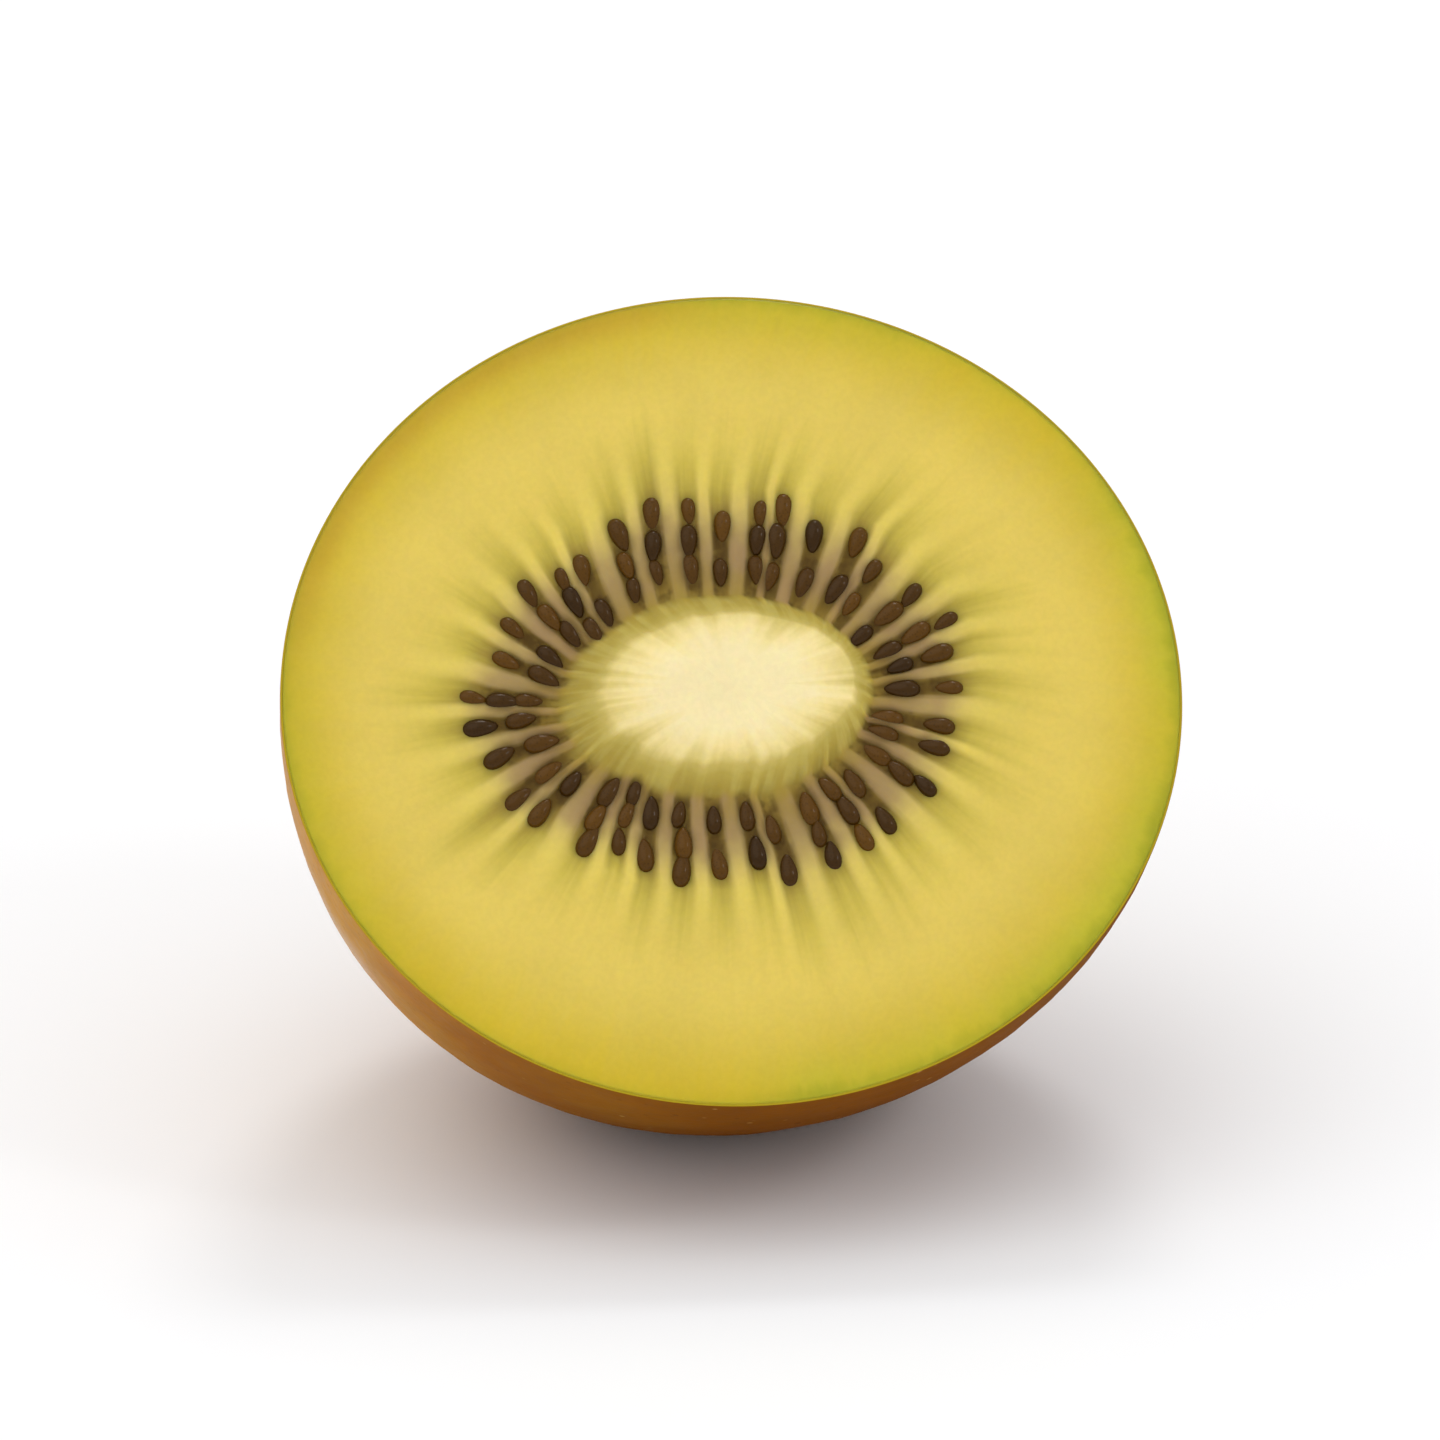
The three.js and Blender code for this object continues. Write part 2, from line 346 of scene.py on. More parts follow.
def mesh_from_rings(name, rings):
    starts = np.cumsum([0] + [len(ring) for ring in rings])
    faces = []
    for k in range(len(rings) - 1):
        faces += band_faces(rings[k], rings[k + 1], int(starts[k]), int(starts[k + 1]))
    piece = mesh_object(name, np.concatenate([ring.points for ring in rings]), faces)
    for key in rings[0].values:
        store(piece, key, np.concatenate([ring.values[key] for ring in rings]))
    angle = np.concatenate([ring.turns for ring in rings]) * 2 * math.pi
    store(piece, "polar", cylinder(1.0, angle, 0.0))
    return piece


def mesh_object(name, points, faces):
    mesh = bpy.data.meshes.new(name)
    mesh.from_pydata(place(points).tolist(), [], faces)
    mesh.validate()
    mesh.shade_smooth()
    piece = bpy.data.objects.new(name, mesh)
    bpy.context.scene.collection.objects.link(piece)
    return piece


def store(piece, name, values):
    """Keeps one number or vector for each vertex, for the materials to read."""
    kind, field = ("FLOAT_VECTOR", "vector") if np.ndim(values) == 2 else ("FLOAT", "value")
    layer = piece.data.attributes.new(name, kind, "POINT")
    layer.data.foreach_set(field, np.asarray(values, np.float32).ravel())


# ---- maps for baking ----

# The room on the maps, as shares of their width.
FACE_ROOM = 0.47
SKIN_ROOM = 0.488
LIP_ROOM = 0.012
HIDDEN_ROOM = {"kiwi_flesh": 0.06, "kiwi_skin": 0.07}  # for what nothing shows
HIDDEN_MARGIN = 0.01


def map_for_baking(piece, rings, first, last, shown_map):
    """Lays the piece out flat, the faces from ring first to ring last with nearly all the room.

    The others, which nothing shows, share a small disc in a corner.
    """
    hidden_map = corner_map(rings, first, last, HIDDEN_ROOM[piece.name])
    order = np.arange(len(rings))
    lengths = [len(ring) for ring in rings]
    shown = np.repeat((order >= first) & (order <= last), lengths)

    mesh = piece.data
    corners = np.empty(len(mesh.loops), np.int32)
    mesh.loops.foreach_get("vertex_index", corners)
    starts = np.empty(len(mesh.polygons), np.int32)
    mesh.polygons.foreach_get("loop_start", starts)
    shown_face = np.minimum.reduceat(shown[corners], starts)
    shown_corner = np.repeat(shown_face, np.diff(np.append(starts, len(corners))))
    places = np.where(shown_corner[:, None], shown_map[corners], hidden_map[corners])
    layer = mesh.uv_layers.new(name="OFBake")
    layer.data.foreach_set("uv", places.astype(np.float32).ravel())


def corner_map(rings, first, last, room):
    """The rings before first, or else those after last, as a small disc in a corner."""
    order = np.arange(len(rings))
    if first:
        shares = order / first
    else:
        shares = (len(rings) - 1 - order) / (len(rings) - 1 - last)
    return disc_map(rings, room * np.clip(shares, 0, 1), room + HIDDEN_MARGIN)


def disc_map(rings, radii, centre):
    """The rings as circles round one centre, as seen from the fruit's stem end."""
    circles = []
    for ring, radius in zip(rings, radii):
        angle = ring.turns * 2 * math.pi
        x, y = centre - radius * np.cos(angle), centre + radius * np.sin(angle)
        circles.append(np.stack([x, y], 1))
    return np.concatenate(circles)


def face_map(rings):
    """The cut face as it is seen from straight in front."""
    points = np.concatenate([ring.points for ring in rings])
    return 0.5 + FACE_ROOM * points[:, :2] / FACE_HALF_WIDTH


def skin_map(rings, lip_start):
    """The skin spread out round the stem end, with the thin lip at the cut widened."""
    sections = np.array([ring.points[0] for ring in rings[lip_start:]])
    steps = np.linalg.norm(np.diff(sections, axis=0), axis=1)
    lip_steps = len(LIP_INSETS)
    steps[:lip_steps] = LIP_ROOM * steps.sum() / lip_steps
    from_end = np.append(np.cumsum(steps[::-1])[::-1], 0)
    radii = SKIN_ROOM * from_end / from_end[0]
    return disc_map(rings, np.concatenate([np.full(lip_start, SKIN_ROOM), radii]), 0.5)


# ---- the seeds ----

SEED_COLUMNS, SEED_ROWS = 14, 12
OWN_STEP = 0.618  # from one seed's own value to the next one's, which spreads them evenly


def row_wave(turn):
    """How far in or out the seeds at this turn lie because of the waves of the ring's outline."""
    angle = turn * 2 * math.pi
    return sum(height * math.cos(count * angle - at) for count, height, at in ROW_WAVES)


def seed_places():
    """Each chamber's slide, and each seed's turn, reach, size, stray turn and how proud it is.

    They are drawn in the order in which the solid draws them.
    """
    slides, places = [], []
    for turn in CHAMBER_TURNS:
        count = 3 if chance() < THREE_SEEDS else 2
        slide = row_wave(turn) + between(-ROW_SHIFT, ROW_SHIFT)
        slides.append(slide)
        for k in range(count):
            share = (k + 0.5 + between(-SEED_STRAY, SEED_STRAY)) / count
            at = turn + between(-SEED_STRAY_ASIDE, SEED_STRAY_ASIDE) / CHAMBER_COUNT
            reach = ROW_MIDDLE + slide + ROW_SPREAD * (share - 0.5)
            size = between(*SEED_SIZES)
            stray = between(-SEED_TURN, SEED_TURN)
            places.append((at, reach, size, stray, between(*SEED_PROUD)))
    return np.array(slides), places


SLIDES, SEED_PLACES = seed_places()


def seed_frames():
    """For each seed, its middle on the face, its heading and its size."""
    frames = []
    for turn, reach, size, stray, proud in SEED_PLACES:
        angle = turn * 2 * math.pi
        x, y = face_point(reach, angle)
        out_x, out_y = face_point(reach + 0.1, angle)
        heading = math.atan2(out_y - y, out_x - x) + stray
        top = float(face_height(reach, 1.0)) + proud
        frames.append((np.array([x, y, top - SEED_THICKNESS / 2 * size]), heading, size))
    return frames


SEED_FRAMES = seed_frames()


def seed_points():
    """One seed along +X: a drop that is blunt outwards and narrow towards the core."""
    tilts = np.linspace(0, math.pi, SEED_ROWS + 1)[1:-1]
    tilt, around = np.meshgrid(tilts, even_turns(SEED_COLUMNS)[1], indexing="ij")
    body = [np.cos(tilt), np.sin(tilt) * np.cos(around), np.sin(tilt) * np.sin(around)]
    body = np.stack(body, -1).reshape(-1, 3)
    points = np.concatenate([[(1, 0, 0)], body, [(-1, 0, 0)]]) / 2
    taper = 1 + SEED_TAPER * points[:, 0]
    return points * stack(SEED_LENGTH, SEED_WIDTH * taper, SEED_THICKNESS * taper)


def seed_faces():
    faces = []
    last = 1 + (SEED_ROWS - 1) * SEED_COLUMNS
    for here in range(SEED_COLUMNS):
        ahead = (here + 1) % SEED_COLUMNS
        faces.append((0, 1 + here, 1 + ahead))
        faces.append((last, last - SEED_COLUMNS + ahead, last - SEED_COLUMNS + here))
        for row in range(SEED_ROWS - 2):
            start = 1 + row * SEED_COLUMNS
            after = start + SEED_COLUMNS
            faces.append((start + here, after + here, after + ahead, start + ahead))
    return faces


def make_seeds():
    shape, faces = seed_points(), seed_faces()
    all_points, all_faces, own = [], [], []
    for k, (middle, heading, size) in enumerate(SEED_FRAMES):
        cos, sin = math.cos(heading), math.sin(heading)
        turn = np.array([[cos, -sin, 0], [sin, cos, 0], [0, 0, 1]])
        all_points.append((shape * size) @ turn.T + middle)
        all_faces += [tuple(vertex + k * len(shape) for vertex in face) for face in faces]
        own.append(np.full(len(shape), k * OWN_STEP % 1))
    piece = mesh_object("kiwi_seeds", np.concatenate(all_points), all_faces)
    store(piece, "own", np.concatenate(own))
    return piece


# ---- the flesh ----

# The face's rings: the few round its middle, then bands from a reach to a reach.
MIDDLE_REACHES = (0.1, 0.2)
FACE_BANDS = [(0.3, 1.0, 12), (1.0, 2.0, 14), (2.0, 3.0, 28), (3.0, 3.9, 34), (3.9, 4.0, 8)]
STEPS_PER_WALL = 7  # columns from a chamber's middle to the wall beside it

# Low relief from noise, here and below: its height, how many features there are in a millimetre,
# and how many layers of noise are added up.
FACE_WAVES = (0.05, 0.3, 3)
FIBRES = (0.022, 1.0, 3)
FIBRE_RADIUS, FIBRE_STEP = 27.0, 1.2  # their noise is taken on a cylinder, so far along a reach
FACE_RELIEF_END = (3.9, 4.0)  # the reaches between which both fade out
RIM_SWELL = 0.04
RIM_SWELL_START, RIM_SWELL_END = (3.3, 3.9), (3.93, 4.0)
GEL_CLIMB = 0.1  # how far the gel climbs up round a seed
GEL_SPREAD = 1.6  # the square of how far from its middle it does, in half seeds


def flesh_columns():
    """For each of the face's columns, its turn, how deep in a chamber it is, and its slide."""
    columns = []
    for i in range(CHAMBER_COUNT):
        after = (i + 1) % CHAMBER_COUNT
        wall = np.array([WALL_TURNS[i], 0, (SLIDES[i] + SLIDES[i - 1]) / 2])
        middle = np.array([CHAMBER_TURNS[i], 1, SLIDES[i]])
        next_turn = WALL_TURNS[after] + (after == 0)
        next_wall = np.array([next_turn, 0, (SLIDES[i] + SLIDES[after]) / 2])
        for start, end in ((wall, middle), (middle, next_wall)):
            for share in np.arange(STEPS_PER_WALL) / STEPS_PER_WALL:
                columns.append(start + (end - start) * share)
    return np.array(columns).T


def flesh_ring(reach, every=1):
    turns, chamber, slide = flesh_columns()[:, ::every]
    angle = turns * 2 * math.pi
    x, y = face_point(reach, angle)
    scale = 1 - SKIN_THICKNESS / FACE_HALF_HEIGHT * smooth(3.0, 4.0, reach)
    points = stack(x * scale, y * scale, face_height(reach, chamber))
    near = cling(points)
    points[:, 2] += flesh_unevenness(points, reach, angle) + GEL_CLIMB * near
    return Ring(turns, points, reach=reach, chamber=chamber, slide=slide, cling=near)


def flesh_unevenness(points, reach, angle):
    """The cut isn't a true plane: it waves, its fibres stand up and it swells at the rim."""
    swell = smooth(*RIM_SWELL_START, reach) * (1 - smooth(*RIM_SWELL_END, reach))
    waves = rough(points, *FACE_WAVES)
    fibres = rough(cylinder(FIBRE_RADIUS, angle, FIBRE_STEP * reach), *FIBRES)
    fibres *= smooth(*CHAMBER_END, reach)
    return RIM_SWELL * swell + (waves + fibres) * (1 - smooth(*FACE_RELIEF_END, reach))


def cling(points):
    """How near each point is to a seed, from 0 to 1."""
    near = np.zeros(len(points))
    for middle, heading, size in SEED_FRAMES:
        away = points[:, :2] - middle[:2]
        along = away @ (math.cos(heading), math.sin(heading)) / (SEED_LENGTH * size / 2)
        across = away @ (-math.sin(heading), math.cos(heading)) / (SEED_WIDTH * size / 2)
        near = np.maximum(near, np.exp(-((along**2 + across**2) / GEL_SPREAD) ** 2))
    return near


def flesh_face():
    """The rings of the cut face, from the core's middle to the rim."""
    pole = [[CORE_MIDDLE[0], CORE_MIDDLE[1], CORE_RISE]]
    rings = [Ring([0], pole, reach=0, chamber=0.5, slide=0, cling=0)]
    rings += [flesh_ring(reach, STEPS_PER_WALL) for reach in MIDDLE_REACHES]
    for low, high, count in FACE_BANDS:
        rings += [flesh_ring(reach) for reach in np.linspace(low, high, count, endpoint=False)]
    return rings + [flesh_ring(4.0)]


def floor_rings(wall, values):
    """The rings of a hidden floor, from its middle out, that ends at this ring."""
    pole = Ring([0], [[0, 0, wall.points[0, 2]]], **values)
    return [pole] + [Ring(wall.turns, wall.points * (s, s, 1), **values) for s in FLOOR_SHARES]


def flesh_underside():
    """The rings down inside the skin and across the bottom, where nothing shows."""
    hidden = {"reach": 4, "chamber": 0.5, "slide": 0, "cling": 0}
    inset = SKIN_THICKNESS + SKIN_GAP
    walls = [skin_ring(depth, HIDDEN_COLUMNS, inset) for depth in FLESH_DEPTHS]
    walls = [Ring(wall.turns, wall.points, **hidden) for wall in walls]
    return walls + floor_rings(walls[-1], hidden)[::-1]


def make_flesh():
    face = flesh_face()
    rings = face + flesh_underside()
    piece = mesh_from_rings("kiwi_flesh", rings)
    map_for_baking(piece, rings, 0, len(face) - 1, face_map(rings))
    return piece


# ---- the skin ----

SKIN_COLUMNS, SKIN_ROWS = 252, 110
BUTTON_COLUMNS, BUTTON_ROWS = 168, 44
BUTTON_START, DOME_END = BUTTON_RADIUS * 1.5, BUTTON_RADIUS * 1.6  # rings of these radii meet
BUTTON_END = 1.2  # the radius of the last ring round the stem end's middle
LIP_INSETS = (SKIN_THICKNESS, 0.08, 0.03)  # the rings across the skin's cut edge
LIP_DEPTHS = (0.05, 0.15)  # and just below it, which round it off
SKIN_DENTS = (0.07, 0.22, 2)
SKIN_RIPPLES = (0.02, 1.1, 2)
SKIN_SHRINK = 0.05  # how far in the skin lies where it is dented, on average
SKIN_DENTS_START = (0.0, 4.0)  # the depths between which the dents and ripples begin


def skin_ring(depth, columns, inset=0.0, cut=0.0):
    turns, angle = even_turns(columns)
    share = dome_share(depth)
    swell = lump(depth, angle) - inset
    x = (FACE_HALF_WIDTH * share + swell) * np.cos(angle)
    y = (FACE_HALF_HEIGHT * share + swell) * np.sin(angle)
    from_stem = share * math.sqrt(FACE_HALF_WIDTH * FACE_HALF_HEIGHT)
    return Ring(turns, stack(x, y, -depth), depth=depth, cut=cut, from_stem=from_stem)


def button_ring(radius, columns):
    turns, angle = even_turns(columns)
    depth = depth_at_radius(radius)
    height = button_sink(radius) - depth
    return Ring(turns, cylinder(radius, angle, height), depth=depth, cut=0, from_stem=radius)


def pucker(ring):
    """Small dents and ripples, towards the fruit's middle and away, that fade out at the cut."""
    relief = rough(ring.points, *SKIN_DENTS) + rough(ring.points, *SKIN_RIPPLES) - SKIN_SHRINK
    relief *= smooth(*SKIN_DENTS_START, -ring.points[:, 2])
    outwards = ring.points / np.linalg.norm(ring.points, axis=1)[:, None]
    ring.points += outwards * relief[:, None]
    return ring


def skin_inside():
    """The rings of the skin's inner side, from a floor below the flesh up to the cut."""
    hidden = {"depth": SKIN_DEPTHS[0], "cut": 0, "from_stem": FACE_HALF_HEIGHT}
    walls = [skin_ring(depth, HIDDEN_COLUMNS, SKIN_THICKNESS) for depth in SKIN_DEPTHS]
    return floor_rings(walls[0], hidden) + walls


def skin_outside():
    """The rings of the skin's outer side, from just under the cut to the stem end."""
    last_angle = math.asin(depth_at_radius(DOME_END) / HALF_LENGTH)
    depths = HALF_LENGTH * np.sin(last_angle * np.linspace(0, 1, SKIN_ROWS))
    edge = [skin_ring(depth, SKIN_COLUMNS) for depth in LIP_DEPTHS]
    dome = [skin_ring(depth, SKIN_COLUMNS) for depth in depths[1:]]
    radii = np.linspace(BUTTON_START, BUTTON_END, BUTTON_ROWS)
    button = [button_ring(radius, BUTTON_COLUMNS) for radius in radii]
    return edge + [pucker(ring) for ring in dome + button + [button_ring(0.0, 1)]]


def make_skin():
    inside = skin_inside()
    lip = [skin_ring(0, SKIN_COLUMNS, inset, 1.0) for inset in LIP_INSETS]
    rings = inside + lip + skin_outside()
    piece = mesh_from_rings("kiwi_skin", rings)
    map_for_baking(piece, rings, len(inside), len(rings) - 1, skin_map(rings, len(inside)))
    return piece


# ---- the stem scar ----

SCAR_COLUMNS, SCAR_ROWS = 120, 34
SCAR_SHARES = (1.1, 0.15)  # its outermost and innermost ring, as shares of its radius
SCAR_INNER_SHARES = (0.3, 0.7, 1.08)  # the rings of its inner side, which the skin hides
SCAR_THICKNESS = 0.6
SCAR_PROUD = 0.12  # how far the scar stands out from the solid's disc, before its relief
SCAR_EDGE = (0.09, 1.7, 3)  # this one's height is a share of the scar's radius
SCAR_GRAIN = (0.16, 1.1, 3)
SCAR_LUMPS = (0.22, 0.5, 2)
SCAR_EDGE_AT, SCAR_GRAIN_AT, SCAR_LUMPS_AT = 9.0, 3.0, 8.0  # where in the noise these are taken
SCAR_EDGE_RADIUS = 2.2
SCAR_CRACKS = (1.0, 1.0, 3)
SCAR_CRACK_RADIUS, SCAR_CRACK_STEP = 2.0, 0.9
SCAR_CRACK_EDGE = (0.15, 0.5)  # from the noise that is no crack to the noise that is a full one
SCAR_CRACK_START = (0.3, 0.7)  # the shares of the scar's radius between which they begin
SCAR_CRACK_DEPTH = 0.18


def scar_ring(share):
    """A loop of the woody disc, ragged at its edge, at a share of its radius."""
    turns, angle = even_turns(SCAR_COLUMNS)
    ragged = 1 + share * rough(cylinder(SCAR_EDGE_RADIUS, angle, SCAR_EDGE_AT), *SCAR_EDGE)
    radius = STEM_RADIUS * share
    height = button_sink(radius) - SCAR_PROUD - depth_at_radius(radius)
    return Ring(turns, cylinder(radius * ragged, angle, height), share=share)


def crack(ring):
    """Grain, lumps, and cracks that run out from the pit."""
    x, y = ring.points[:, :2].T
    share = ring.values["share"]
    angle = ring.turns * 2 * math.pi
    outwards = cylinder(SCAR_CRACK_RADIUS, angle, SCAR_CRACK_STEP * STEM_RADIUS * share)
    cracks = smooth(*SCAR_CRACK_EDGE, rough(outwards, *SCAR_CRACKS))
    cracks *= smooth(*SCAR_CRACK_START, share)
    grain = rough(stack(x, y, SCAR_GRAIN_AT), *SCAR_GRAIN)
    lumps = rough(stack(x, y, SCAR_LUMPS_AT), *SCAR_LUMPS)
    ring.points[:, 2] += grain + lumps + SCAR_CRACK_DEPTH * cracks
    return ring


def make_scar():
    inside = [scar_ring(share) for share in SCAR_INNER_SHARES]
    for ring in inside:
        ring.points[:, 2] += SCAR_THICKNESS
    outside = [crack(scar_ring(share)) for share in np.linspace(*SCAR_SHARES, SCAR_ROWS)]
    start, end = (
        Ring([0], [[0, 0, ring.points[:, 2].mean()]], share=0) for ring in (inside[0], outside[-1])
    )
    return mesh_from_rings("kiwi_stem_scar", [start] + inside + outside + [end])


# ---- materials ----


def linear(colour):
    """An sRGB colour, given as 0 to 255, as the linear RGBA that Blender's sockets take."""
    shares = [part / 255 for part in colour]
    return (*(s / 12.92 if s <= 0.04045 else ((s + 0.055) / 1.055) ** 2.4 for s in shares), 1.0)


class Value:
    """A number or colour that a node gives. Arithmetic on it adds the nodes that work it out."""

    def __init__(self, shader, socket):
        self.shader = shader
        self.socket = socket

    def __add__(self, other):
        return self.shader.math("ADD", self, other)

    def __sub__(self, other):
        return self.shader.math("SUBTRACT", self, other)

    def __mul__(self, other):
        return self.shader.math("MULTIPLY", self, other)


class Point(Value):
    """A point or direction that a node gives, with vector nodes for its arithmetic."""

    def __add__(self, other):
        return Point(self.shader, self.shader.vector("ADD", self, other).outputs["Vector"])

    def __mul__(self, number):
        made = self.shader.vector("SCALE", self)
        self.shader.feed(made.inputs["Scale"], number)
        return Point(self.shader, made.outputs["Vector"])

    def dot(self, direction):
        made = self.shader.vector("DOT_PRODUCT", self, direction)
        return Value(self.shader, made.outputs["Value"])


class Shader:
    """A material's node tree, built one value at a time."""

    def __init__(self, name):
        self.material = bpy.data.materials.new(name)
        self.material.use_nodes = True
        self.tree = self.material.node_tree
        self.tree.nodes.clear()
        self.surface = self.node("ShaderNodeBsdfPrincipled")
        output = self.node("ShaderNodeOutputMaterial")
        self.tree.links.new(self.surface.outputs[0], output.inputs["Surface"])

    def node(self, kind, **settings):
        made = self.tree.nodes.new(kind)
        for key, value in settings.items():
            setattr(made, key, value)
        return made

    def feed(self, socket, value):
        if isinstance(value, Value):
            self.tree.links.new(value.socket, socket)
        else:
            socket.default_value = value

    def set(self, **values):
        for key, value in values.items():
            self.feed(self.surface.inputs[key.replace("_", " ")], value)

    def attribute(self, name):
        return Value(self, self.node("ShaderNodeAttribute", attribute_name=name).outputs["Fac"])

    def polar(self):
        """The direction out from the fruit's axis."""
        made = self.node("ShaderNodeAttribute", attribute_name="polar")
        return Point(self, made.outputs["Vector"])

    def position(self):
        """The place in the part's frame, in metres."""
        return Point(self, self.node("ShaderNodeTexCoord").outputs["Object"])

    def math(self, operation, *values):
        made = self.node("ShaderNodeMath", operation=operation)
        for socket, value in zip(made.inputs, values):
            self.feed(socket, value)
        return Value(self, made.outputs[0])

    def vector(self, operation, *values):
        made = self.node("ShaderNodeVectorMath", operation=operation)
        for socket, value in zip(made.inputs, values):
            self.feed(socket, value)
        return made

    def upwards(self, height):
        """A vector along z."""
        made = self.node("ShaderNodeCombineXYZ")
        self.feed(made.inputs["Z"], height)
        return Point(self, made.outputs[0])

    def noise(self, place, scale, detail, roughness):
        made = self.node("ShaderNodeTexNoise")
        self.feed(made.inputs["Vector"], place)
        self.feed(made.inputs["Scale"], scale)
        self.feed(made.inputs["Detail"], detail)
        self.feed(made.inputs["Roughness"], roughness)
        return Value(self, made.outputs["Fac"])

    def cells(self, place, scale, feature="F1"):
        """How far each point is from the middle of its cell."""
        made = self.node("ShaderNodeTexVoronoi", feature=feature)
        self.feed(made.inputs["Vector"], place)
        self.feed(made.inputs["Scale"], scale)
        return Value(self, made.outputs["Distance"])

    def range(self, value, low, high, to_low=0.0, to_high=1.0, soft=True):
        made = self.node("ShaderNodeMapRange")
        made.interpolation_type = "SMOOTHSTEP" if soft else "LINEAR"
        for socket, number in zip(made.inputs, (value, low, high, to_low, to_high)):
            self.feed(socket, number)
        return Value(self, made.outputs[0])

    def ramp(self, value, stops):
        """stops: (place, sRGB colour) pairs, over whatever range their places span."""
        low, high = stops[0][0], stops[-1][0]
        made = self.node("ShaderNodeValToRGB")
        elements = made.color_ramp.elements
        while len(elements) < len(stops):
            elements.new(0.5)
        for element, (at, colour) in zip(elements, stops):
            element.position = (at - low) / (high - low)
            element.color = linear(colour)
        self.feed(made.inputs[0], self.range(value, low, high, soft=False))
        return Value(self, made.outputs["Color"])

    def mix(self, share, first, second, blend="MIX"):
        """Two colours, each a value or an sRGB colour from 0 to 255, as one."""
        made = self.node("ShaderNodeMix", data_type="RGBA", blend_type=blend)
        self.feed(made.inputs[0], share)
        for socket, colour in zip(made.inputs[6:8], (first, second)):
            self.feed(socket, colour if isinstance(colour, Value) else linear(colour))
        return Value(self, made.outputs[2])

    def shade(self, colour, amount):
        """Multiplies a colour by a number."""
        grey = self.node("ShaderNodeCombineXYZ")
        for socket in grey.inputs:
            self.feed(socket, amount)
        return self.mix(1.0, colour, Value(self, grey.outputs[0]), "MULTIPLY")

    def bump(self, height, distance, strength):
        """distance: in millimetres."""
        made = self.node("ShaderNodeBump")
        self.feed(made.inputs["Height"], height)
        self.feed(made.inputs["Distance"], distance * MM)
        self.feed(made.inputs["Strength"], strength)
        return Value(self, made.outputs[0])


# ---- the flesh's material ----

# The cut face's colours, from the core out.
CREAM = (244, 229, 180)
CORE_EDGE = (239, 222, 160)
PALE_YELLOW = (222, 204, 131)
YELLOW_GREEN = (197, 178, 97)
OLIVE = (180, 161, 77)
DEEP_OLIVE = (167, 147, 65)
OLIVE_BROWN = (159, 137, 58)
OLIVE_STREAK = (202, 188, 108)
INNER_SEPTUM = (158, 133, 73)
MID_SEPTUM = (162, 138, 89)
SEPTUM = (182, 159, 97)
SEPTUM_GOLD = (208, 187, 103)
SEPTUM_END = (220, 200, 99)
MAUVE_SEPTUM = (160, 132, 92)
DARK_GEL = (70, 46, 10)
GEL = (139, 113, 44)
TUFT_OLIVE = (162, 140, 62)
TUFT_GREEN = (182, 163, 70)
TUFT_YELLOW = (202, 183, 81)
TUFT_END = (215, 194, 92)
GOLD = (223, 200, 98)
RIM_GOLD = (205, 180, 39)
# A deeper gold for the upper left of the rim, partly painted shadow.
DEEP_GOLD_AND_SHADOW = (186, 148, 36)
LIME = (188, 182, 42)
GREEN_EDGE = (152, 154, 36)
FLESH_SHEEN = (255, 228, 170)

# Directions out from the fruit's axis, on the cut face as it is seen from the front.
RIGHT = (0.94, -0.34, 0.0)
LEFT = (-0.98, -0.17, 0.0)
TOP = (0.26, 0.97, 0.0)
UPPER_LEFT = (-0.71, 0.71, 0.0)
LOWER_RIGHT = (0.5, -0.87, 0.0)


# Noises: how many features there are in a metre, how many finer layers, and how rough those are.
# The last four are laid out round the fruit's axis, not in metres.
FLESH_FINE = (900.0, 3.0, 0.55)
FLESH_PATCHES = (330.0, 2.0, 0.5)
FLESH_GRAIN = (2600.0, 2.0, 0.5)
FLESH_MOTTLE = (160.0, 3.0, 0.55)
GEL_BLOTCHES = (900.0, 2.0, 0.6)
FIBRE_STREAKS = (3.0, 3.0, 0.5)
CORE_STREAKS = (1.3, 2.0, 0.5)
WAVER = (1.6, 2.0, 0.5)
LIME_PATCHES = (2.7, 2.0, 0.5)
LIME_AT = (3.0, 1.0, 0.0)  # where in that noise the lime is taken


